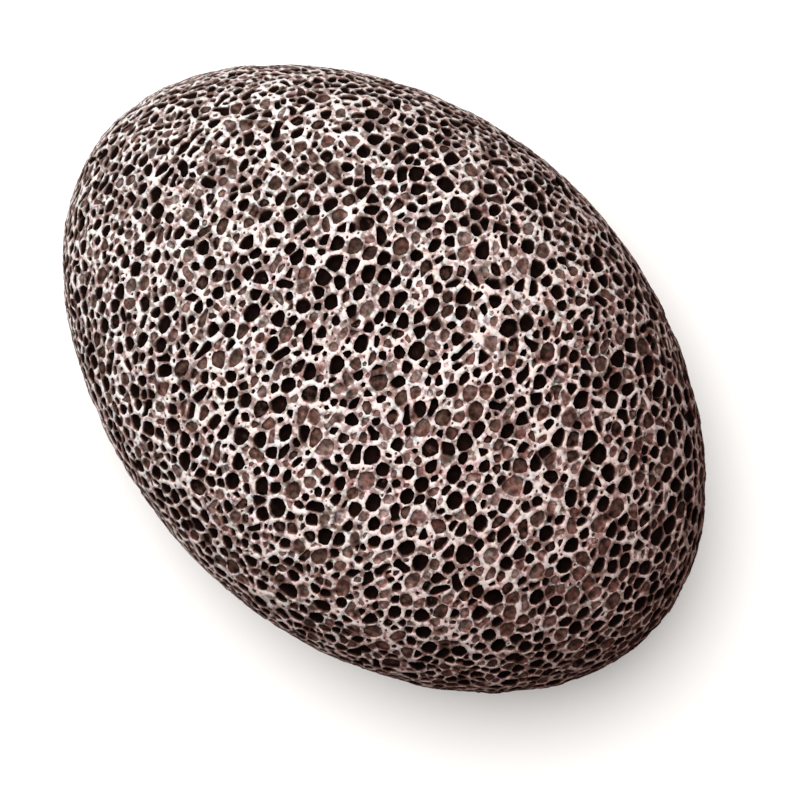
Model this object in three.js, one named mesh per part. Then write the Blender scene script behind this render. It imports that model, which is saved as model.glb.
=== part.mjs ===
// A foot-care pumice stone: one piece of vesicular lava, tumbled into a flattish oval pebble that fits the hand.
// Millimetres, +Z up. X runs along the stone, Y across it. The stone lies on its broad side, and the origin is
// under its middle, in the plane of the worn patch it rests on. This is its outer envelope, the skin that the
// open bubbles break.

import * as THREE from "three";
import { mergeVertices } from "three/addons/utils/BufferGeometryUtils.js";

// Driving dimensions.
const LENGTH = 110;
const WIDTH = 78.9;
const CROWN_HEIGHT = 24.2; // from the widest section up to the top
const BELLY_DEPTH = 22.4; // from the widest section down to where the belly would end unworn
const WEAR_DEPTH = 0.9; // how much of the belly is worn off flat

// How full the curves are: 2 is an ellipse, less is leaner, more is squarer.
const PLAN_POWER = 1.97;
const PROFILE_POWER = 2.15;

// Low lobes that make the plan outline a little uneven: share of the radius, and the direction of the first crest.
const PLAN_LOBES = [
  { crests: 3, share: 0.0063, towards: THREE.MathUtils.degToRad(-44) },
  { crests: 4, share: 0.0057, towards: THREE.MathUtils.degToRad(4) },
];

// Broad dents and swellings of the two broad faces: share of the radius, and waves along, across and up the stone.
const FACE_LOBES = [
  { share: 0.008, waves: [1.3, 0.7, 0.9], shift: 0.4 },
  { share: 0.006, waves: [-0.8, 1.6, 1.1], shift: 2.1 },
];

const FACET_ROWS = 16; // each of the 20 faces of the starting icosahedron is split into this many rows
const FACET_SPLITS = FACET_ROWS - 1;

const STONE_COLOUR = 0x6e5850;

// The share by which the outline swells (or shrinks, below 0) in the direction of a point of the unit sphere.
function planSwell(unit) {
  const bearing = Math.atan2(unit.y, unit.x);
  const level = Math.hypot(unit.x, unit.y); // 1 at the widest section, 0 at the top and the belly
  return PLAN_LOBES.reduce(
    (sum, { crests, share, towards }) => sum + level * share * Math.cos(crests * (bearing - towards)),
    0,
  );
}

// The same for the broad faces, fading to nothing at the widest section.
function faceSwell(unit) {
  return FACE_LOBES.reduce((sum, { share, waves, shift }) => {
    const phase = waves[0] * unit.x + waves[1] * unit.y + waves[2] * unit.z;
    return sum + Math.abs(unit.z) * share * Math.sin(Math.PI * phase + shift);
  }, 0);
}

// Moves a point of the unit sphere to the stone's skin, measured from the centre of the widest section.
function toSkin(unit) {
  const plan = Math.abs(unit.x) ** PLAN_POWER + Math.abs(unit.y) ** PLAN_POWER;
  const whole = plan ** (PROFILE_POWER / PLAN_POWER) + Math.abs(unit.z) ** PROFILE_POWER;
  const reach = whole ** (-1 / PROFILE_POWER) * (1 + planSwell(unit) + faceSwell(unit));
  const halfHeight = unit.z > 0 ? CROWN_HEIGHT : BELLY_DEPTH;
  return new THREE.Vector3(
    (unit.x * reach * LENGTH) / 2,
    (unit.y * reach * WIDTH) / 2,
    unit.z * reach * halfHeight,
  );
}

// A closed ball of near-equal triangles, its shared corners merged.
function evenBall() {
  const ball = new THREE.IcosahedronGeometry(1, FACET_SPLITS);
  ball.deleteAttribute("normal");
  ball.deleteAttribute("uv");
  return mergeVertices(ball, 1e-4);
}

// The pebble, with the belly worn flat at z = 0 and the origin under the middle of its box.
function pebble() {
  const skin = evenBall();
  const corners = skin.getAttribute("position");
  const wornLevel = WEAR_DEPTH - BELLY_DEPTH;
  for (let i = 0; i < corners.count; i++) {
    const unit = new THREE.Vector3().fromBufferAttribute(corners, i).normalize();
    const point = toSkin(unit);
    corners.setXYZ(i, point.x, point.y, Math.max(point.z, wornLevel) - wornLevel);
  }
  skin.computeBoundingBox();
  const middle = skin.boundingBox.getCenter(new THREE.Vector3());
  skin.translate(-middle.x, -middle.y, 0);
  skin.computeVertexNormals();
  return skin;
}

const lava = new THREE.MeshStandardMaterial({ color: STONE_COLOUR, roughness: 0.95, metalness: 0 });

const stone = new THREE.Mesh(pebble(), lava);
stone.name = "pumice_stone";

const part = new THREE.Group();
part.add(stone);

export default part;
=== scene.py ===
import math
import time

import bpy
import numpy as np
from mathutils import Matrix, Vector, noise
from mathutils.bvhtree import BVHTree
from mathutils.geometry import delaunay_2d_cdt
from mathutils.kdtree import KDTree


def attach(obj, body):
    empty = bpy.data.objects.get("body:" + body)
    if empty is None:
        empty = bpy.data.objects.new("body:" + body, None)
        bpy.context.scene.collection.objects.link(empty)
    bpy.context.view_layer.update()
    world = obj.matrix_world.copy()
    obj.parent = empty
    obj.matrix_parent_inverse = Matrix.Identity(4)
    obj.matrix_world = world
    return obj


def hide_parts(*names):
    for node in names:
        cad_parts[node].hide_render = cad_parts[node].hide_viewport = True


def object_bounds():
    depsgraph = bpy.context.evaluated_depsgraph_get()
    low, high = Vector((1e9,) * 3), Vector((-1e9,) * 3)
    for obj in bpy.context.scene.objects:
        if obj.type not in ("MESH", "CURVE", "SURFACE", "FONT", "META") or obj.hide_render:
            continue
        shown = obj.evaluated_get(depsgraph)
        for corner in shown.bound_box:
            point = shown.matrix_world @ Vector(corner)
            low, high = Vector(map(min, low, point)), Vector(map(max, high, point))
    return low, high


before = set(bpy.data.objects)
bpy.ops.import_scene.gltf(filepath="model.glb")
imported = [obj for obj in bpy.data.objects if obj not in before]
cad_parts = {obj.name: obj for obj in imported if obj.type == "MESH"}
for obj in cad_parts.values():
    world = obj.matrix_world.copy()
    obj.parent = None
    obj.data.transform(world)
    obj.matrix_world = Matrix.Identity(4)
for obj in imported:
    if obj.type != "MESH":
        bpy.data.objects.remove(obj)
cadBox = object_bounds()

mm = 0.001
started = time.time()
mathNode, vectorNode = "ShaderNodeMath", "ShaderNodeVectorMath"
rangeNode, noiseNode = "ShaderNodeMapRange", "ShaderNodeTexNoise"
mixNode = "ShaderNodeMix"

# The stone is foamed lava: bubbles packed side by side, cut open by the skin. Sizes in millimetres.
stone = {
    "node": "pumice_stone",
    "seed": 7,
    "poreCount": 6960,
    "sizeSpread": 0.38,  # how much pore sizes differ, as the spread of their logarithm
    "sizeRange": (0.45, 1.75),  # smallest and largest pore, as shares of the middle one
    "packing": 0.80,  # share of the skin that the round bubbles would cover
    "stretch": 1.28,  # bubbles are drawn out this much across the stone
    "stretchDirection": (-0.22, 0.97, 0.0),
    "fineDirection": (-0.95, 0.31, 0.0),  # pores are finer towards this end
    "fineEnd": 0.42,  # by this share at its tip
    "patchSize": 5.0,  # coarse and fine patches
    "patchSpread": 0.12,
    "patchShift": 3.0,  # another number lays the patches out in another way
    # settling
    "placesTried": 4,  # for each bubble
    "settleSteps": 20,
    "settleLook": 3,  # steps between two looks at which bubbles lie near
    "settleNear": 14,  # how many of them push
    "settlePush": 0.4,  # share of an overlap that one step takes away
    "leastRoom": 0.14,  # a bubble with less room than this has been swallowed by its neighbours
    # ridges
    "wallNear": 26,  # neighbours that may share a wall with a pore
    "nearestWall": 0.06,  # no wall stands nearer to a pore's middle than this
    "wall": 0.157,  # half the width of the ridge between two pores, on the worn faces
    "wallMost": 0.5,  # share of the way to a wall that its thickness may take
    "thinSides": 0.45,  # the less worn sides have thinner ridges
    "thinCoarse": 0.35,  # and so has the coarse end
    "wallSpread": 1.0,  # how much the ridges round one pore differ
    "wallPatch": 2.5,  # patches of thicker and thinner ridges
    "wallPatchSpread": 0.9,
    "wallPatchShift": 9.0,
    # rims
    "roundness": 8,  # low for round mouths, high for square corners
    "farthest": 1.7,  # times its bubble's radius, that a mouth can reach
    "rimSteps": 48,  # directions that a rim is first worked out in
    "cornerPull": 0.3,  # how far a rim's points gather at its corners
    "rimPoints": ((0.84, 9), (0.67, 8), (0.51, 7), (0.36, 6), (0.0, 5)),  # mouth radius from, corners
    "fewestPoints": 5,
    "plainBelow": -0.25,  # rims are a corner plainer where the skin faces down more than this
    "mostGrowth": 1.08,  # how much a rim may swell to keep its area with few corners
    "rimJitter": 0.13,
    "jitterOut": 0.25,  # share of the jitter that goes outwards
    "joinedShare": 0.16,  # pores that have run together with a neighbour
    "joinedMost": 0.8,  # the squares of the two mouths' radii, added up
    "joinedHold": 0.55,  # the wall between the two goes where it is held more than this
    "joinedMouth": 0.85,  # the new mouth's radius, as a share of a round hole's with both their areas
    "crossPoints": 6,  # where rims cross, the pores of this many points round the crossing are drawn in
    "drawIn": 0.08,  # and by what share each time
    # wear
    "brokenShare": 0.05,  # walls between two pores that have crumbled
    "brokenDrop": (0.12, 0.4),
    "brokenAlong": (0.5, 0.15),  # hold at which a crumbled wall starts to drop, and how soon it is down
    "thinDrop": 0.08,  # how far a thin wall sags between two junctions
    "thinAlong": (0.45, 0.4),
    "ridgeDrop": 0.03,  # mean height that the worn ridges have lost
    "mostDrop": 0.6,
    # pits
    "pitCount": 850,  # small pits in the widest junctions between pores
    "pitWidth": (0.40, 0.70),  # share of the room in the junction
    "pitApart": 1.3,  # least distance between two pits, in the same measure
    "pitPoints": 5,
    # how deep the pores go
    "luckSeed": 11,
    "luckEvenness": 0.8,  # how strongly neighbours are made unlike, so that no patch is all deep
    "luckNear": 6,
    "coarseShallow": 0.25,  # how much shallower the coarse end is, as a share of the whole range
}


def report(text):
    print(f"{time.time() - started:6.1f} s  {text}", flush=True)


def linear(hexColour):
    # sRGB hex to the linear values that Blender works in
    channels = [int(hexColour[i : i + 2], 16) / 255 for i in (1, 3, 5)]
    return tuple(c / 12.92 if c <= 0.04045 else ((c + 0.055) / 1.055) ** 2.4 for c in channels) + (1.0,)


def addNode(tree, kind, settings=None, inputs=None):
    # an input takes a plain value or another node's output
    node = tree.nodes.new(kind)
    for name, value in (settings or {}).items():
        setattr(node, name, value)
    for name, value in (inputs or {}).items():
        if isinstance(value, bpy.types.NodeSocket):
            tree.links.new(value, node.inputs[name])
        else:
            node.inputs[name].default_value = value
    return node


def unit(vectors):
    return vectors / np.linalg.norm(vectors, axis=-1, keepdims=True)


def squared(vectors):
    return (vectors**2).sum(1, keepdims=True)


def alongSkin(normals):
    # two directions square to the normals and to each other
    side = unit(np.cross(normals, np.array([0.31, 0.87, 0.38])))
    return side, np.cross(normals, side)


def mergedSkin(source):
    # the CAD node is loose triangles, so a copy of it is merged first
    mesh = source.data.copy()
    points = np.zeros(len(mesh.vertices) * 3)
    mesh.vertices.foreach_get("co", points)
    points = points.reshape(-1, 3) / mm
    loops = np.zeros(len(mesh.loops), int)
    mesh.loops.foreach_get("vertex_index", loops)
    bpy.data.meshes.remove(mesh)
    _, first, places = np.unique(np.round(points, 4), axis=0, return_index=True, return_inverse=True)
    return points[first], places.reshape(-1)[loops].reshape(-1, 3)


class Skin:
    # the stone's envelope, squeezed across so that drawn-out bubbles become round ones

    def __init__(self, corners, triangles, s):
        direction = unit(np.array(s["stretchDirection"]))
        self.drawn = np.eye(3) + (s["stretch"] - 1) * np.outer(direction, direction)
        self.squeezed = np.linalg.inv(self.drawn)
        self.corners = corners @ self.squeezed
        self.triangles = triangles
        self.middle = Vector((self.corners.min(0) + self.corners.max(0)) / 2)
        self.tree = BVHTree.FromPolygons(self.corners.tolist(), triangles.tolist())
        self.length, _, self.height = np.ptp(corners, axis=0)

    def area(self):
        a, b, c = (self.corners[self.triangles[:, k]] for k in range(3))
        return np.linalg.norm(np.cross(b - a, c - a), axis=1) / 2

    def scatter(self, count, rng):
        area = self.area()
        picks = rng.choice(len(area), count, p=area / area.sum())
        a, b, c = (self.corners[self.triangles[picks, k]] for k in range(3))
        u, v = rng.random((2, count, 1))
        u, v = np.where(u + v > 1, 1 - u, u), np.where(u + v > 1, 1 - v, v)
        return a + (b - a) * u + (c - a) * v

    def project(self, points):
        # straight out from the middle of the stone; gives the places and the normals there
        places, normals = np.empty_like(points), np.empty_like(points)
        for i, point in enumerate(points.tolist()):
            place, normal, _, _ = self.tree.ray_cast(self.middle, Vector(point) - self.middle)
            places[i], normals[i] = place, normal
        return places, normals


def nearest(points, count):
    tree = KDTree(len(points))
    for i, point in enumerate(points.tolist()):
        tree.insert(point, i)
    tree.balance()
    return np.array([[hit[1] for hit in tree.find_n(point, count + 1)][1:] for point in points.tolist()])


def patches(places, size, shift):
    # slow rise and fall over the stone, mostly between -0.5 and 0.5
    return np.array([noise.noise(place) for place in (places / size + shift).tolist()])


def towardFineEnd(places, skin, s):
    # -1 at the coarse end, 1 at the fine end
    return np.clip(places @ unit(np.array(s["fineDirection"])) / (skin.length / 2), -1, 1)


def grading(points, skin, s):
    # how large the pores are in each place, 1 where they are neither coarse nor fine
    places = points @ skin.drawn
    grade = 1 - s["fineEnd"] * np.maximum(towardFineEnd(places, skin, s), 0) ** 2
    return grade * np.exp(s["patchSpread"] * patches(places, s["patchSize"], s["patchShift"]))


def ridgeWidths(points, skin, s):
    places = points @ skin.drawn
    sides = 1 - np.abs(places[:, 2] * 2 / skin.height - 1)
    coarse = np.maximum(-towardFineEnd(places, skin, s), 0)
    return s["wall"] * (1 - s["thinSides"] * sides) * (1 - s["thinCoarse"] * coarse)


def settle(skin, sizes, rng, s):
    # the bubbles push each other apart until they lie side by side
    spare = skin.scatter(s["placesTried"] * len(sizes), rng)
    chance = grading(spare, skin, s) ** -2  # the finer the pores, the more of them there are
    points = spare[rng.choice(len(spare), len(sizes), replace=False, p=chance / chance.sum())]
    total = skin.area().sum()
    for step in range(s["settleSteps"]):
        if step % s["settleLook"] == 0:
            near = nearest(points, s["settleNear"])
            girths = sizes * grading(points, skin, s)
            girths *= math.sqrt(s["packing"] * total / (math.pi * (girths**2).sum()))
        away = points[:, None, :] - points[near]
        gap = np.maximum(np.linalg.norm(away, axis=2), 1e-6)  # never quite nothing, as it divides
        overlap = np.maximum(girths[:, None] + girths[near] - gap, 0)
        points = points + s["settlePush"] * (away / gap[..., None] * overlap[..., None]).sum(1)
        points, normals = skin.project(points)
    return points, normals, girths


def wallsAround(points, girths, s):
    # how far off each pore's middle the walls to its neighbours stand
    near = nearest(points, s["wallNear"])
    away = points[near] - points[:, None, :]
    gap = np.linalg.norm(away, axis=2)
    return near, away, (gap**2 + girths[:, None] ** 2 - girths[near] ** 2) / (2 * gap)


def cellRims(points, normals, girths, width, rng, s):
    # each pore's mouth is its cell among its neighbours, less half a wall, with rounded corners
    near, away, wall = wallsAround(points, girths, s)
    phase = rng.random(len(points))
    thick = (phase[:, None] + phase[near]) % 1  # the same seen from both sides of a wall
    width = width * np.exp(s["wallPatchSpread"] * patches(points, s["wallPatch"], s["wallPatchShift"]))
    margin = width[:, None] * np.exp(s["wallSpread"] * (2 * thick - 1))
    wall = np.maximum(wall, s["nearestWall"])
    wall = wall - np.minimum(margin, s["wallMost"] * wall)

    side, across = alongSkin(normals)
    bearing = np.arctan2((away * across[:, None]).sum(2), (away * side[:, None]).sum(2))
    turn = np.arange(s["rimSteps"]) * 2 * math.pi / s["rimSteps"]
    facing = np.maximum(np.cos(turn[None, :, None] - bearing[:, None, :]), 0)
    pull = (facing / wall[:, None, :]) ** s["roundness"]
    limit = (1 / (s["farthest"] * girths)) ** s["roundness"]
    reach = (pull.sum(2) + limit[:, None]) ** (-1 / s["roundness"])
    facedBy = np.take_along_axis(near, pull.argmax(2), axis=1)  # the pore on the other side of the wall
    hold = pull.max(2) / pull.sum(2)  # 1 in the middle of a wall, about a half at a junction

    flat = reach[..., None] * np.stack([np.cos(turn), np.sin(turn)], axis=1)
    edge = np.roll(flat, -1, axis=1) - flat
    length = np.linalg.norm(edge, axis=2)
    heading = np.arctan2(edge[..., 1], edge[..., 0])
    bend = np.abs((heading - np.roll(heading, 1, axis=1) + math.pi) % (2 * math.pi) - math.pi)
    weight = length / length.sum(1, keepdims=True) + s["cornerPull"] * bend / bend.sum(1, keepdims=True)
    passed = np.cumsum(weight, axis=1) / weight.sum(1, keepdims=True)
    mouth = np.sqrt((flat[..., 0] * edge[..., 1] - flat[..., 1] * edge[..., 0]).sum(1) / 2 / math.pi)

    rims = []
    steps = np.arange(s["rimSteps"] + 1)
    for i in range(len(points)):
        count = next(count for fromRadius, count in s["rimPoints"] if mouth[i] >= fromRadius)
        count = max(count - (normals[i, 2] < s["plainBelow"]), s["fewestPoints"])
        where = np.interp((rng.random() + np.arange(count)) / count, np.r_[0, passed[i]], steps)
        loops = (np.r_[v, v[0]] for v in (flat[i, :, 0], flat[i, :, 1], hold[i]))
        x, y, held = (np.interp(where, steps, loop) for loop in loops)
        enclosed = (x * np.roll(y, -1) - np.roll(x, -1) * y).sum() / 2 / math.pi
        grow = min(mouth[i] / math.sqrt(enclosed), s["mostGrowth"])
        grow = grow * (1 - s["rimJitter"] * (rng.random(count) - s["jitterOut"]))
        place = points[i] + side[i] * (x * grow)[:, None] + across[i] * (y * grow)[:, None]
        faced = facedBy[i, np.round(where).astype(int) % s["rimSteps"]]
        rims.append({"place": place, "faced": faced, "held": held, "thick": (phase[i] + phase[faced]) % 1})
    partner = near[np.arange(len(points)), np.argmin(wall, axis=1)]
    return rims, partner, mouth


def joinPores(rims, partner, mouth, rng, s):
    # some pores have run together with the neighbour that lies closest: one rim goes round both
    taken = np.zeros(len(rims), bool)
    gone = np.zeros(len(rims), bool)
    wanted = int(len(rims) * s["joinedShare"] / 2)
    for i in rng.permutation(len(rims)):
        j = partner[i]
        if taken[i] or taken[j] or mouth[i] ** 2 + mouth[j] ** 2 > s["joinedMost"]:
            continue
        pair = ((i, j), (j, i))
        keeps = [(rims[n]["faced"] != other) | (rims[n]["held"] < s["joinedHold"]) for n, other in pair]
        if min((~k).sum() for k in keeps) < 1 or min(k.sum() for k in keeps) < 3:
            continue  # no wall to open, or too little left of a rim
        if any((k & ~np.roll(k, 1)).sum() != 1 for k in keeps):
            continue  # the rim would fall into several parts
        parts = []
        for (n, _), k in zip(pair, keeps):
            first = np.flatnonzero(k & ~np.roll(k, 1))[0]
            parts.append({key: np.roll(value, -first, axis=0)[: k.sum()] for key, value in rims[n].items()})
        rims[i] = {key: np.concatenate([part[key] for part in parts]) for key in rims[i]}
        mouth[i] = math.sqrt(mouth[i] ** 2 + mouth[j] ** 2) * s["joinedMouth"]
        taken[i] = taken[j] = gone[j] = True
        wanted -= 1
        if not wanted:
            break
    kept = np.flatnonzero(~gone)
    return [rims[i] for i in kept], mouth[kept]


def alongWall(held, start, over):
    # 0 near a junction to 1 in the middle of a wall
    return np.clip((held - start) / over, 0, 1)


def ridgeDrops(rims, rng, s):
    # walls stand lower than junctions, thin ones most, and some have crumbled
    held = np.concatenate([rim["held"] for rim in rims])
    thick = np.concatenate([rim["thick"] for rim in rims])
    low, high = s["brokenDrop"]
    fate = thick * 37 % 1  # a second chance for each wall, again the same from both its sides
    crumbled = np.where(fate < s["brokenShare"], low + (high - low) * fate / s["brokenShare"], 0)
    drop = crumbled * alongWall(held, *s["brokenAlong"])
    drop += s["thinDrop"] * 2 * (1 - thick) * alongWall(held, *s["thinAlong"])
    return drop + rng.exponential(s["ridgeDrop"], len(held))


def flatMap(places, middle, pole):
    # every direction from the middle of the stone laid out on a plane, the pole going to infinity
    toward = unit(places - middle)
    up = unit(pole - middle)
    right = unit(np.cross([0.0, 1.0, 0.0], up))
    spread = 1 / (1 - toward @ up)
    return np.column_stack([(toward @ right) * spread, -(toward @ np.cross(up, right)) * spread])


def ridgeNet(places, pore, middle, pole, s):
    # the ridges between the rims, as triangles; pores whose rims cross are drawn in a little first
    starts = np.flatnonzero(np.r_[True, pore[1:] != pore[:-1]])
    ends = np.r_[starts[1:], len(pore)]
    following = np.arange(1, len(pore) + 1)
    following[ends - 1] = starts
    edges = np.column_stack([np.arange(len(pore)), following]).tolist()
    while True:
        flat = flatMap(places, middle, pole)
        flatPoints = [Vector(p) for p in flat.tolist()]
        corners, _, faces, origins, _, _ = delaunay_2d_cdt(flatPoints, edges, [], 0, 1e-9, True)
        crossings = [corner for corner, origin in zip(corners, origins) if not origin]
        if not crossings:
            break
        report(f"{len(crossings)} rims cross")
        for crossing in crossings:
            close = np.argsort(((flat - np.array(crossing)) ** 2).sum(1))[: s["crossPoints"]]
            for i in set(pore[close]):
                rim = places[starts[i] : ends[i]]
                rim += s["drawIn"] * (rim.mean(0) - rim)
    origin = np.array([o[0] for o in origins])
    triangles = origin[np.array(faces)]
    a, b, c = pore[triangles].T
    sameRim = (a == b) & (b == c)
    turned = np.roll(triangles, -1, axis=1)
    outsideRim = (following[turned] == triangles).any(1)  # runs along a rim the other way round
    lids = [np.arange(start, end) for start, end in zip(starts, ends)]
    return triangles[~sameRim | outsideRim], lids


def pitRims(places, pore, ridges, middle, rng, s):
    # the widest junctions between three pores have small pits of their own
    a, b, c = (places[ridges[:, k]] for k in range(3))
    ab, ac = b - a, c - a
    normal = np.cross(ab, ac)
    toCentre = squared(ac) * np.cross(normal, ab) + squared(ab) * np.cross(ac, normal)
    centre = a + toCentre / (2 * squared(normal))
    room = np.linalg.norm(centre - a, axis=1)
    inside = np.ones(len(a), bool)
    for p, q in ((a, b), (b, c), (c, a)):
        inside &= (np.cross(q - p, centre - p) * normal).sum(1) > 0
    owner = pore[ridges]
    apart = (owner[:, 0] != owner[:, 1]) & (owner[:, 1] != owner[:, 2]) & (owner[:, 2] != owner[:, 0])
    fit = np.flatnonzero(inside & apart)
    rims, radii, taken = [], [], np.empty((0, 3))
    for i in fit[np.argsort(-room[fit])]:
        if len(rims) == s["pitCount"]:
            break
        if len(taken) and np.linalg.norm(taken - centre[i], axis=1).min() < s["pitApart"] * room[i]:
            continue
        taken = np.vstack([taken, centre[i]])
        outward = unit(normal[i]) * np.sign(normal[i] @ (centre[i] - middle))
        side, across = alongSkin(outward)
        turn = (np.arange(s["pitPoints"]) + rng.random()) * 2 * math.pi / s["pitPoints"]
        radius = room[i] * rng.uniform(*s["pitWidth"])
        rims.append(centre[i] + radius * (side * np.cos(turn)[:, None] + across * np.sin(turn)[:, None]))
        radii.append(radius)
    return rims, np.array(radii)


def depthLuck(points, s):
    # 0 for the shallowest pore to 1 for the deepest, unlike ones side by side
    luck = np.random.default_rng(s["luckSeed"]).random(len(points))
    luck = luck - s["luckEvenness"] * luck[nearest(points, s["luckNear"])].mean(1)
    return np.argsort(np.argsort(luck)) / len(luck)


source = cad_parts[stone["node"]]
rng = np.random.default_rng(stone["seed"])
corners, triangles = mergedSkin(source)
skin = Skin(corners, triangles, stone)
middle = np.array(skin.middle)
report(f"skin has {len(corners)} corners")

low, high = (math.log(share) for share in stone["sizeRange"])
sizes = np.exp(np.clip(stone["sizeSpread"] * rng.standard_normal(stone["poreCount"]), low, high))
points, normals, girths = settle(skin, sizes, rng, stone)
roomy = wallsAround(points, girths, stone)[2].min(1) > stone["leastRoom"]
points, normals, girths = points[roomy], normals[roomy], girths[roomy]
report(f"{len(points)} bubbles settled")
rims, partner, mouth = cellRims(points, normals, girths, ridgeWidths(points, skin, stone), rng, stone)
rims, mouth = joinPores(rims, partner, mouth, rng, stone)
drop = ridgeDrops(rims, rng, stone)
pore = np.repeat(np.arange(len(rims)), [len(rim["held"]) for rim in rims])
places, _ = skin.project(np.concatenate([rim["place"] for rim in rims]))
pole = points[np.argmin(points[:, 2] + 0.1 * np.abs(points[:, :2]).sum(1))]  # in a pore under the stone
ridges, _ = ridgeNet(places, pore, middle, pole, stone)
report(f"{len(rims)} pores, {len(places)} rim points")

pits, pitMouth = pitRims(places, pore, ridges, middle, rng, stone)
places = np.concatenate([places, *pits])
pore = np.concatenate([pore, len(rims) + np.repeat(np.arange(len(pits)), stone["pitPoints"])])
drop = np.concatenate([drop, rng.exponential(stone["ridgeDrop"], len(places) - len(drop))])
mouth = np.concatenate([mouth, pitMouth])
places, outward = skin.project(places)
ridges, lids = ridgeNet(places, pore, middle, pole, stone)
places, outward = places @ skin.drawn, unit(outward @ skin.squeezed)
places -= outward * np.minimum(drop, stone["mostDrop"])[:, None]
report(f"{len(pits)} pits, {len(places)} rim points, {len(ridges)} ridge triangles")


def meshObject(name, places, faces):
    mesh = bpy.data.meshes.new(name)
    mesh.from_pydata((places * mm).tolist(), [], faces)
    made = bpy.data.objects.new(name, mesh)
    bpy.context.scene.collection.objects.link(made)
    return made


def netObject(places, ridges, lids, mouth, luck):
    # the ridges and a lid over each pore, with what each lid's pore is to be
    net = meshObject("pumice", places, ridges.tolist() + [lid.tolist() for lid in lids])
    flat = len(ridges)
    values = {
        "mouth": ("FLOAT", np.concatenate([np.zeros(flat), mouth * mm]).astype(np.float32)),
        "luck": ("FLOAT", np.concatenate([np.zeros(flat), luck]).astype(np.float32)),
        "pore": ("INT", np.concatenate([np.full(flat, -1), np.arange(len(lids))]).astype(np.int32)),
    }
    for name, (kind, value) in values.items():
        net.data.attributes.new(name, kind, "FACE").data.foreach_set("value", value)
    return net


# Sizes in millimetres, or shares of a pore's mouth where it says so.
bubbles = {
    "Unevenness": 0.35,  # how far the stone's surface dips in places
    "Uneven Patch": 6.0,
    "Dip From": 0.58,  # value of the pattern where a dip begins
    "Dip Full": 0.3,  # and where it is deepest
    "Pit Mouth": 0.34,  # pores smaller than this are plain cones
    "Pit Depth": 2.6,  # share of its mouth's radius
    "Shallow Pore": 0.24,  # depth of the shallowest pores, share of the mouth's radius
    "Deep Pore": 2.1,  # and of the deepest
    "Shallow Luck": -0.05,  # luck of the shallowest pores
    "Deep Luck": 0.90,  # and of the deepest
    "Mouth Share": 0.6,  # how much of the mouth's radius counts towards the depth
    "Small Pore Gain": 0.29,  # added to that, so that small pores are the deeper for their width
    "Deepest": 1.7,
    "Belly": 0.98,  # how wide a pore is below its mouth
    "Belly Spread": 0.1,
    "Shallow Share": 0.47,  # pores whose floor can be seen
    "Floor Rise": 0.25,  # how far such a floor domes up, as a share of its depth
    "Lean": 0.30,  # how far a floor lies off its mouth's middle, share of the mouth's radius
    "Roughness": 0.08,
    "Rough Grain": 0.5,
    "Rough Below": 0.3,  # depth from which the walls are as uneven as they get
    "Same Point": 0.0005,  # points nearer than this become one
    "Seed": 5,
}
inMillimetres = (
    "Unevenness", "Uneven Patch", "Pit Mouth", "Small Pore Gain", "Deepest", "Roughness", "Rough Grain",
    "Rough Below", "Same Point",
)


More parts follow.
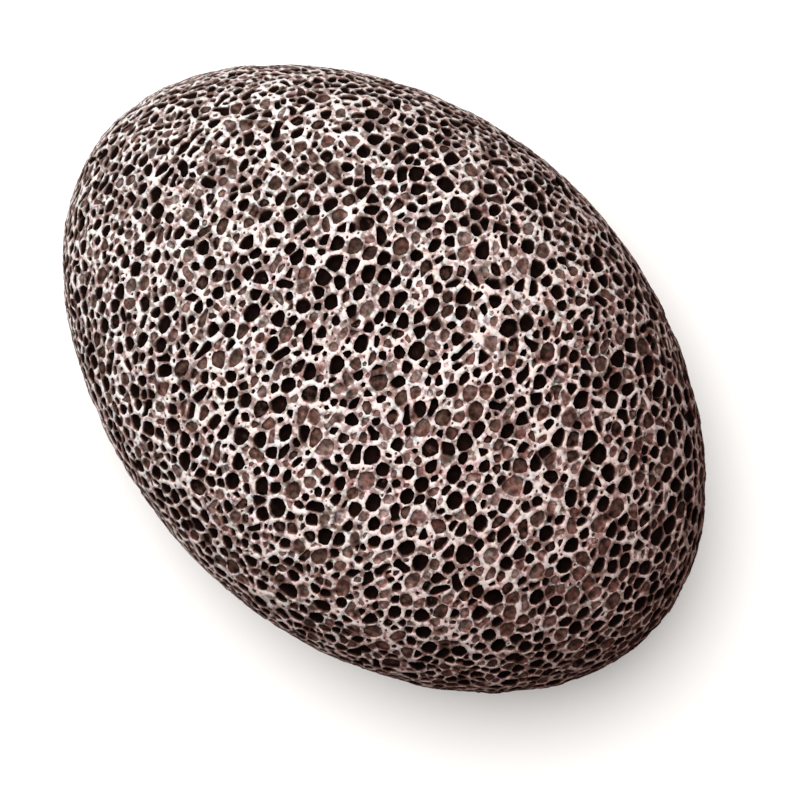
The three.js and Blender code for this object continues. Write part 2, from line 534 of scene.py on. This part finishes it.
def poreTree(sizes, finish):
    # each pore sinks from its mouth: a wall, then a floor; the smallest are cones
    tree = bpy.data.node_groups.new("sinkPores", "GeometryNodeTree")
    tree.interface.new_socket(name="Net", in_out="INPUT", socket_type="NodeSocketGeometry")
    tree.interface.new_socket(name="Skin", in_out="INPUT", socket_type="NodeSocketObject")
    for name, value in sizes.items():
        kind = "NodeSocketInt" if name == "Seed" else "NodeSocketFloat"
        tree.interface.new_socket(name=name, in_out="INPUT", socket_type=kind).default_value = value
    tree.interface.new_socket(name="Stone", in_out="OUTPUT", socket_type="NodeSocketGeometry")
    given = addNode(tree, "NodeGroupInput").outputs

    readNode, storeNode = "GeometryNodeInputNamedAttribute", "GeometryNodeStoreNamedAttribute"
    extrudeNode, scaleNode = "GeometryNodeExtrudeMesh", "GeometryNodeScaleElements"
    moveNode = "GeometryNodeSetPosition"
    mouth = addNode(tree, readNode, {"data_type": "FLOAT"}, {"Name": "mouth"}).outputs[0]
    luck = addNode(tree, readNode, {"data_type": "FLOAT"}, {"Name": "luck"}).outputs[0]
    pore = addNode(tree, readNode, {"data_type": "INT"}, {"Name": "pore"}).outputs[0]
    plump = addNode(
        tree, "FunctionNodeRandomValue", {"data_type": "FLOAT"},
        {2: -1.0, 3: 1.0, "ID": pore, "Seed": given["Seed"]},
    ).outputs[1]
    otherSeed = addNode(tree, mathNode, {"operation": "ADD"}, {0: given["Seed"], 1: 1.0}).outputs[0]
    aside = addNode(
        tree, "FunctionNodeRandomValue", {"data_type": "FLOAT_VECTOR"},
        {0: (-1, -1, -1), 1: (1, 1, 1), "ID": pore, "Seed": otherSeed},
    ).outputs[0]

    # each face keeps the way that it faces now, and a pore leans along the skin only
    normal = addNode(tree, "GeometryNodeInputNormal").outputs[0]
    mesh = addNode(
        tree, storeNode, {"domain": "FACE", "data_type": "FLOAT_VECTOR"},
        {"Geometry": given["Net"], "Name": "outward", "Value": normal},
    ).outputs[0]
    outward = addNode(tree, readNode, {"data_type": "FLOAT_VECTOR"}, {"Name": "outward"}).outputs[0]
    outOnly = addNode(tree, vectorNode, {"operation": "PROJECT"}, {0: aside, 1: outward}).outputs[0]
    aside = addNode(tree, vectorNode, {"operation": "SUBTRACT"}, {0: aside, 1: outOnly}).outputs[0]

    # the surface itself dips here and there
    scale = addNode(tree, mathNode, {"operation": "DIVIDE"}, {0: 1.0, 1: given["Uneven Patch"]}).outputs[0]
    hills = addNode(tree, noiseNode, None, {"Scale": scale, "Detail": 2.0}).outputs["Fac"]
    dip = addNode(tree, rangeNode, None, {
        "Value": hills, "From Min": given["Dip From"], "From Max": given["Dip Full"],
        "To Max": given["Unevenness"],
    }).outputs[0]
    mesh = addNode(
        tree, storeNode, {"domain": "POINT", "data_type": "FLOAT"},
        {"Geometry": mesh, "Name": "dip", "Value": dip},
    ).outputs[0]
    dip = addNode(tree, readNode, {"data_type": "FLOAT"}, {"Name": "dip"}).outputs[0]
    inward = addNode(tree, mathNode, {"operation": "MULTIPLY"}, {0: dip, 1: -1.0}).outputs[0]
    offset = addNode(tree, vectorNode, {"operation": "SCALE"}, {0: outward, "Scale": inward}).outputs[0]
    mesh = addNode(tree, moveNode, None, {"Geometry": mesh, "Offset": offset}).outputs[0]

    # the smallest pores are drawn in to a point
    isPore = addNode(tree, mathNode, {"operation": "GREATER_THAN"}, {0: mouth, 1: 0.0}).outputs[0]
    isWide = addNode(
        tree, mathNode, {"operation": "GREATER_THAN"}, {0: mouth, 1: given["Pit Mouth"]}
    ).outputs[0]
    isPit = addNode(tree, mathNode, {"operation": "SUBTRACT"}, {0: isPore, 1: isWide}).outputs[0]
    depth = addNode(tree, mathNode, {"operation": "MULTIPLY"}, {0: mouth, 1: given["Pit Depth"]}).outputs[0]
    depth = addNode(tree, mathNode, {"operation": "MULTIPLY"}, {0: depth, 1: -1.0}).outputs[0]
    pit = addNode(
        tree, extrudeNode, None,
        {"Mesh": mesh, "Selection": isPit, "Offset Scale": depth, "Individual": True},
    ).outputs
    mesh = addNode(
        tree, scaleNode, None, {"Geometry": pit["Mesh"], "Selection": pit["Top"], "Scale": 0.0}
    ).outputs[0]

    # the walls of the wide ones
    share = addNode(tree, rangeNode, {"interpolation_type": "SMOOTHSTEP"}, {
        "Value": luck, "From Min": given["Shallow Luck"], "From Max": given["Deep Luck"],
        "To Min": given["Shallow Pore"], "To Max": given["Deep Pore"],
    }).outputs[0]
    width = addNode(
        tree, mathNode, {"operation": "MULTIPLY_ADD"},
        {0: mouth, 1: given["Mouth Share"], 2: given["Small Pore Gain"]},
    ).outputs[0]
    reach = addNode(tree, mathNode, {"operation": "MULTIPLY"}, {0: share, 1: width}).outputs[0]
    reach = addNode(tree, mathNode, {"operation": "MINIMUM"}, {0: reach, 1: given["Deepest"]}).outputs[0]
    down = addNode(tree, mathNode, {"operation": "MULTIPLY"}, {0: reach, 1: -1.0}).outputs[0]
    wall = addNode(
        tree, extrudeNode, None,
        {"Mesh": mesh, "Selection": isWide, "Offset Scale": down, "Individual": True},
    ).outputs
    belly = addNode(
        tree, mathNode, {"operation": "MULTIPLY_ADD"}, {0: plump, 1: given["Belly Spread"], 2: given["Belly"]}
    ).outputs[0]
    mesh = addNode(
        tree, scaleNode, None, {"Geometry": wall["Mesh"], "Selection": wall["Top"], "Scale": belly}
    ).outputs[0]
    lean = addNode(tree, mathNode, {"operation": "MULTIPLY"}, {0: mouth, 1: given["Lean"]}).outputs[0]
    offset = addNode(tree, vectorNode, {"operation": "SCALE"}, {0: aside, "Scale": lean}).outputs[0]
    mesh = addNode(
        tree, moveNode, None, {"Geometry": mesh, "Selection": wall["Top"], "Offset": offset}
    ).outputs[0]

    # domed floors in the shallow ones
    isShallow = addNode(
        tree, mathNode, {"operation": "LESS_THAN"}, {0: luck, 1: given["Shallow Share"]}
    ).outputs[0]
    isSeen = addNode(tree, mathNode, {"operation": "MULTIPLY"}, {0: isShallow, 1: wall["Top"]}).outputs[0]
    rise = addNode(tree, mathNode, {"operation": "MULTIPLY"}, {0: reach, 1: given["Floor Rise"]}).outputs[0]
    floor = addNode(
        tree, extrudeNode, None,
        {"Mesh": mesh, "Selection": isSeen, "Offset Scale": rise, "Individual": True},
    ).outputs
    mesh = addNode(
        tree, scaleNode, None, {"Geometry": floor["Mesh"], "Selection": floor["Top"], "Scale": 0.0}
    ).outputs[0]
    mesh = addNode(
        tree, moveNode, None, {"Geometry": mesh, "Selection": floor["Top"], "Offset": offset}
    ).outputs[0]
    mesh = addNode(
        tree, "GeometryNodeMergeByDistance", None, {"Geometry": mesh, "Distance": given["Same Point"]}
    ).outputs[0]

    # how deep each point lies, which the finish reads; a dip counts as surface for four fifths
    skin = addNode(tree, "GeometryNodeObjectInfo", None, {"Object": given["Skin"]}).outputs["Geometry"]
    below = addNode(tree, "GeometryNodeProximity", None, {"Geometry": skin}).outputs["Distance"]
    below = addNode(
        tree, mathNode, {"operation": "MULTIPLY_ADD"}, {0: dip, 1: -0.8, 2: below}
    ).outputs[0]
    mesh = addNode(
        tree, storeNode, {"domain": "POINT", "data_type": "FLOAT"},
        {"Geometry": mesh, "Name": "depth", "Value": below},
    ).outputs[0]
    mesh = addNode(
        tree, storeNode, {"domain": "FACE", "data_type": "FLOAT"},
        {"Geometry": mesh, "Name": "tone", "Value": plump},
    ).outputs[0]

    # uneven walls; the pattern swings by a half each way, so it counts twice
    scale = addNode(tree, mathNode, {"operation": "DIVIDE"}, {0: 1.0, 1: given["Rough Grain"]}).outputs[0]
    grain = addNode(tree, noiseNode, None, {"Scale": scale, "Detail": 1.0}).outputs["Color"]
    shake = addNode(tree, vectorNode, {"operation": "SUBTRACT"}, {0: grain, 1: (0.5, 0.5, 0.5)}).outputs[0]
    below = addNode(tree, readNode, {"data_type": "FLOAT"}, {"Name": "depth"}).outputs[0]
    inside = addNode(
        tree, rangeNode, None,
        {"Value": below, "From Min": 0.0, "From Max": given["Rough Below"], "To Max": 2.0},
    ).outputs[0]
    by = addNode(tree, mathNode, {"operation": "MULTIPLY"}, {0: inside, 1: given["Roughness"]}).outputs[0]
    offset = addNode(tree, vectorNode, {"operation": "SCALE"}, {0: shake, "Scale": by}).outputs[0]
    mesh = addNode(tree, moveNode, None, {"Geometry": mesh, "Offset": offset}).outputs[0]
    mesh = addNode(tree, "GeometryNodeSetShadeSmooth", None, {"Geometry": mesh}).outputs[0]
    mesh = addNode(tree, "GeometryNodeRealizeInstances", None, {"Geometry": mesh}).outputs[0]
    mesh = addNode(tree, "GeometryNodeSetMaterial", None, {"Geometry": mesh, "Material": finish}).outputs[0]
    addNode(tree, "NodeGroupOutput", None, {"Stone": mesh})
    return tree


def applyTree(piece, tree, values):
    # inputs go in by their identifiers, before the piece is first evaluated
    modifier = piece.modifiers.new(tree.name, "NODES")
    modifier.node_group = tree
    for item in tree.interface.items_tree:
        if item.in_out == "INPUT" and item.name in values:
            modifier[item.identifier] = values[item.name]
    graph = bpy.context.evaluated_depsgraph_get()
    shaped = piece.evaluated_get(graph)
    mesh = bpy.data.meshes.new_from_object(shaped, preserve_all_data_layers=True, depsgraph=graph)
    piece.modifiers.clear()
    old = piece.data
    piece.data = mesh
    bpy.data.meshes.remove(old)


# Colours from the pale worn ridges down to the bottom of a pore, with the depth in millimetres where each
# begins; the darkening with depth is painted shade in the pores.
lava = {
    "depths": (0.0, 0.10, 0.18, 0.31, 0.53, 0.90),
    "colours": ("#d3c8c5", "#cabdba", "#94817d", "#6c5651", "#4e3730", "#100604"),
    "patterns": {  # grain in millimetres, fineness, and what the pattern runs from and to
        "specks": (0.9, 3.0, -0.09 * mm, 0.16 * mm),  # added to the depth
        "stains": (2.6, 3.0, -0.03 * mm, 0.05 * mm),
        "blotches": (0.8, 2.0, 0.45, 1.5),  # brightness of the floors
        "rust": (1.6, 1.5, 0.0, 0.84),  # 0 for grey, 1 for rusty
    },
    "patternRange": (0.35, 0.65),  # nearly all of a noise pattern lies between these values
    "speckHues": (0.3, 0.85),  # how far the specks' hues swing, and the least of a channel
    "floorDepths": (0.05, 0.2),  # millimetres down to where a ridge ends and a floor begins
    "toneShades": (0.8, 1.15),  # brightness of the darkest and the lightest pore
    "rustTint": (1.08, 0.88, 0.87),
    "greyTint": (0.92, 1.09, 1.12),
    "rustTilt": 9.0,  # the stone is rustier towards +X, by this much in a metre
    "ridgeRust": 0.4,  # share of the tint that the ridges take
    "paintedPoreShade": 1.8,  # painted shade: on the sides a pore is coloured as if deeper, by this many times its depth
    "ridgeTop": 0.10,  # what lies above this depth is ridge, and gets none of the painted pore shade
    "paintedSideShade": (0.47, 0.415, 0.40),  # painted shade: the sides are darker than the two faces, most of all at the coarse end (+X), away from the light
    "sideHeight": 20.0,  # from mid height to where the painted side shade ends
    "sideShadeTilt": (-0.23, -0.03, 0.0),  # how fast the painted shade deepens along X and Y
    "midHeight": 22.8,  # of the stone
    "gritStrength": 0.25,  # the one thing that is bump and not shape
    "gritHeight": 0.08,
    "roughness": 0.9,
    "specular": 0.04,
}


def lavaFinish(c):
    # foamed lava, sawn and tumbled: pale worn ridges round open bubbles darkened with depth as painted shade,
    # gritty and without gloss
    finish = bpy.data.materials.new("foamedLava")
    finish.use_nodes = True
    tree = finish.node_tree
    tree.nodes.clear()
    depth = addNode(tree, "ShaderNodeAttribute", {"attribute_name": "depth"}).outputs["Fac"]
    tone = addNode(tree, "ShaderNodeAttribute", {"attribute_name": "tone"}).outputs["Fac"]
    place = addNode(tree, "ShaderNodeTexCoord").outputs["Object"]
    fields, patterns = {}, {}
    start, end = c["patternRange"]
    for name, (grain, fineness, low, high) in c["patterns"].items():
        fields[name] = addNode(
            tree, noiseNode, None, {"Vector": place, "Scale": 1 / (grain * mm), "Detail": fineness}
        ).outputs
        patterns[name] = addNode(
            tree, rangeNode, None,
            {"Value": fields[name]["Fac"], "From Min": start, "From Max": end, "To Min": low, "To Max": high},
        ).outputs[0]

    # painted shade: the sides are darker than the two faces, and their pores darker still
    xyz = addNode(tree, "ShaderNodeSeparateXYZ", None, {0: place}).outputs
    offMiddle = addNode(
        tree, mathNode, {"operation": "SUBTRACT"}, {0: xyz["Z"], 1: c["midHeight"] * mm}
    ).outputs[0]
    offMiddle = addNode(tree, mathNode, {"operation": "ABSOLUTE"}, {0: offMiddle}).outputs[0]
    tilt = addNode(
        tree, vectorNode, {"operation": "DOT_PRODUCT"}, {0: place, 1: c["sideShadeTilt"]}
    ).outputs["Value"]
    tilted = addNode(tree, mathNode, {"operation": "ADD"}, {0: offMiddle, 1: tilt}).outputs[0]
    onFace = addNode(
        tree, mathNode, {"operation": "DIVIDE"}, {0: tilted, 1: c["sideHeight"] * mm}
    ).outputs[0]
    onFace = addNode(tree, mathNode, {"operation": "MINIMUM"}, {0: onFace, 1: 1.0}).outputs[0]
    side = addNode(
        tree, mixNode, {"data_type": "VECTOR", "clamp_factor": False},
        {0: onFace, 4: c["paintedSideShade"], 5: (1.0, 1.0, 1.0)},
    ).outputs[1]
    shadeDeepen = addNode(tree, rangeNode, None, {
        "Value": offMiddle, "From Min": 0.0, "From Max": c["sideHeight"] * mm,
        "To Min": c["paintedPoreShade"], "To Max": 0.0,
    }).outputs[0]
    inPore = addNode(tree, mathNode, {"operation": "SUBTRACT"}, {0: depth, 1: c["ridgeTop"] * mm}).outputs[0]
    inPore = addNode(tree, mathNode, {"operation": "MAXIMUM"}, {0: inPore, 1: 0.0}).outputs[0]
    below = addNode(
        tree, mathNode, {"operation": "MULTIPLY_ADD"}, {0: inPore, 1: shadeDeepen, 2: depth}
    ).outputs[0]

    # specks and stains make the ridges look deeper and browner than they are
    level = addNode(tree, mathNode, {"operation": "ADD"}, {0: below, 1: patterns["specks"]}).outputs[0]
    level = addNode(tree, mathNode, {"operation": "ADD"}, {0: level, 1: patterns["stains"]}).outputs[0]
    level = addNode(tree, mathNode, {"operation": "MULTIPLY"}, {0: level, 1: 1 / mm}).outputs[0]
    # painted shade: the deeper a point lies in a pore, the darker its colour, down to near black
    ramp = addNode(tree, "ShaderNodeValToRGB", None, {"Fac": level})
    elements = ramp.color_ramp.elements
    while len(elements) < len(c["depths"]):
        elements.new(0.5)
    for element, where, colour in zip(elements, c["depths"], c["colours"]):
        element.position, element.color = where, linear(colour)

    # the floors are blotchy, and each pore has its own brightness
    start, end = c["floorDepths"]
    onFloor = addNode(
        tree, rangeNode, None, {"Value": depth, "From Min": start * mm, "From Max": end * mm}
    ).outputs[0]
    blotch = addNode(tree, mixNode, None, {"Factor": onFloor, "A": 1.0, "B": patterns["blotches"]}).outputs[0]
    darkest, lightest = c["toneShades"]
    shade = addNode(
        tree, rangeNode, None,
        {"Value": tone, "From Min": -1.0, "From Max": 1.0, "To Min": darkest, "To Max": lightest},
    ).outputs[0]
    shade = addNode(tree, mathNode, {"operation": "MULTIPLY"}, {0: shade, 1: blotch}).outputs[0]
    colour = addNode(
        tree, vectorNode, {"operation": "SCALE"}, {0: ramp.outputs["Color"], "Scale": shade}
    ).outputs[0]
    # the painted side shade darkens the colour here
    colour = addNode(tree, vectorNode, {"operation": "MULTIPLY"}, {0: colour, 1: side}).outputs[0]

    # from rusty to grey, most of all inside the pores
    rust = addNode(
        tree, mathNode, {"operation": "MULTIPLY_ADD"}, {0: xyz["X"], 1: c["rustTilt"], 2: patterns["rust"]}
    ).outputs[0]
    rust = addNode(
        tree, mixNode, {"data_type": "VECTOR"}, {0: rust, 4: c["greyTint"], 5: c["rustTint"]}
    ).outputs[1]
    strength = addNode(
        tree, rangeNode, None, {"Value": onFloor, "To Min": c["ridgeRust"], "To Max": 1.0}
    ).outputs[0]
    rust = addNode(
        tree, mixNode, {"data_type": "VECTOR"}, {0: strength, 4: (1.0, 1.0, 1.0), 5: rust}
    ).outputs[1]
    colour = addNode(tree, vectorNode, {"operation": "MULTIPLY"}, {0: colour, 1: rust}).outputs[0]
    spread, least = c["speckHues"]
    hues = addNode(
        tree, vectorNode, {"operation": "MULTIPLY_ADD"},
        {0: fields["specks"]["Color"], 1: (spread,) * 3, 2: (least,) * 3},
    ).outputs[0]
    colour = addNode(tree, vectorNode, {"operation": "MULTIPLY"}, {0: colour, 1: hues}).outputs[0]
    grit = addNode(tree, "ShaderNodeBump", None, {
        "Strength": c["gritStrength"], "Distance": c["gritHeight"] * mm, "Height": fields["specks"]["Fac"],
    }).outputs[0]
    shader = addNode(tree, "ShaderNodeBsdfPrincipled", None, {
        "Base Color": colour, "Normal": grit,
        "Roughness": c["roughness"], "Specular IOR Level": c["specular"],
    })
    addNode(tree, "ShaderNodeOutputMaterial", None, {"Surface": shader.outputs[0]})
    return finish


poreMiddle = places[[lid[0] for lid in lids]]
luck = depthLuck(poreMiddle, stone)
luck += stone["coarseShallow"] * np.minimum(towardFineEnd(poreMiddle, skin, stone), 0)
pumice = netObject(places, ridges, lids, mouth, luck)
base = meshObject("skin", corners, triangles.tolist())
values = {name: value * mm if name in inMillimetres else value for name, value in bubbles.items()}
applyTree(pumice, poreTree(values, lavaFinish(lava)), {**values, "Skin": base})
bpy.data.objects.remove(base)
for name in ("mouth", "luck", "pore", "outward", "dip"):  # the finish reads only depth and tone
    pumice.data.attributes.remove(pumice.data.attributes[name])
report(f"pores sunk: {sum(len(p.vertices) - 2 for p in pumice.data.polygons)} triangles")
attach(pumice, "root")
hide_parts(stone["node"])


# Sizes and places in millimetres, turn in degrees, power in watts.
studio = {
    "azimuth": 43.3,  # the camera looks straight down, turned this much about the upright
    "lens": 100.0,
    "sensor": 36.0,
    "frameWidth": 118.9,  # of the plane through the stone's widest section
    "stoneLeft": 2.13,  # how far the stone sits left of and above the frame's middle
    "stoneUp": 3.73,
    "floor": "#e3e2e1",
    "floorSize": 3000.0,
    "floorRoughness": 0.9,
    "key": (-640.0, 160.0, 1660.0),  # one soft round light, high up
    "keyAim": (0.0, 0.0, 20.0),
    "keySize": 2100.0,
    "keyPower": 74.5,
    "keyColour": "#fffcfa",
    "sky": 0.14,
}


def makeFloor(s):
    half = s["floorSize"] / 2
    corners = np.array([(-half, -half, 0), (half, -half, 0), (half, half, 0), (-half, half, 0)])
    floor = meshObject("floor", corners, [(0, 1, 2, 3)])
    finish = bpy.data.materials.new("paleBoard")  # matt card: an even pale ground with a soft shadow
    finish.use_nodes = True
    shader = finish.node_tree.nodes["Principled BSDF"]
    shader.inputs["Base Color"].default_value = linear(s["floor"])
    shader.inputs["Roughness"].default_value = s["floorRoughness"]
    floor.data.materials.append(finish)


def makeLight(s):
    data = bpy.data.lights.new("key", "AREA")
    data.shape = "DISK"
    data.size = s["keySize"] * mm
    data.energy = s["keyPower"]
    data.color = linear(s["keyColour"])[:3]
    lamp = bpy.data.objects.new("key", data)
    lamp.location = Vector(s["key"]) * mm
    lamp.rotation_euler = (Vector(s["keyAim"]) * mm - lamp.location).to_track_quat("-Z", "Y").to_euler()
    bpy.context.scene.collection.objects.link(lamp)
    world = bpy.data.worlds.new("studio")
    world.use_nodes = True
    world.node_tree.nodes["Background"].inputs["Strength"].default_value = s["sky"]
    world.node_tree.nodes["Background"].inputs["Color"].default_value = (1, 1, 1, 1)
    bpy.context.scene.world = world


def makeCamera(s):
    low, high = cadBox
    turn = math.radians(s["azimuth"])
    right = Vector((math.cos(turn), math.sin(turn), 0))
    up = Vector((-math.sin(turn), math.cos(turn), 0))
    half = math.atan(s["sensor"] / 2 / s["lens"])
    away = s["frameWidth"] * mm / 2 / math.tan(half)
    data = bpy.data.cameras.new("camera")
    data.lens = s["lens"]
    data.sensor_width = s["sensor"]
    camera = bpy.data.objects.new("camera", data)
    place = (low + high) / 2 + right * s["stoneLeft"] * mm - up * s["stoneUp"] * mm + Vector((0, 0, away))
    camera.matrix_world = Matrix((
        (right.x, up.x, 0, place.x),
        (right.y, up.y, 0, place.y),
        (0, 0, 1, place.z),
        (0, 0, 0, 1),
    ))
    bpy.context.scene.collection.objects.link(camera)
    bpy.context.scene.camera = camera


makeFloor(studio)
makeLight(studio)
makeCamera(studio)
bpy.context.scene.view_settings.view_transform = "Standard"

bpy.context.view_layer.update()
report("scene ready")
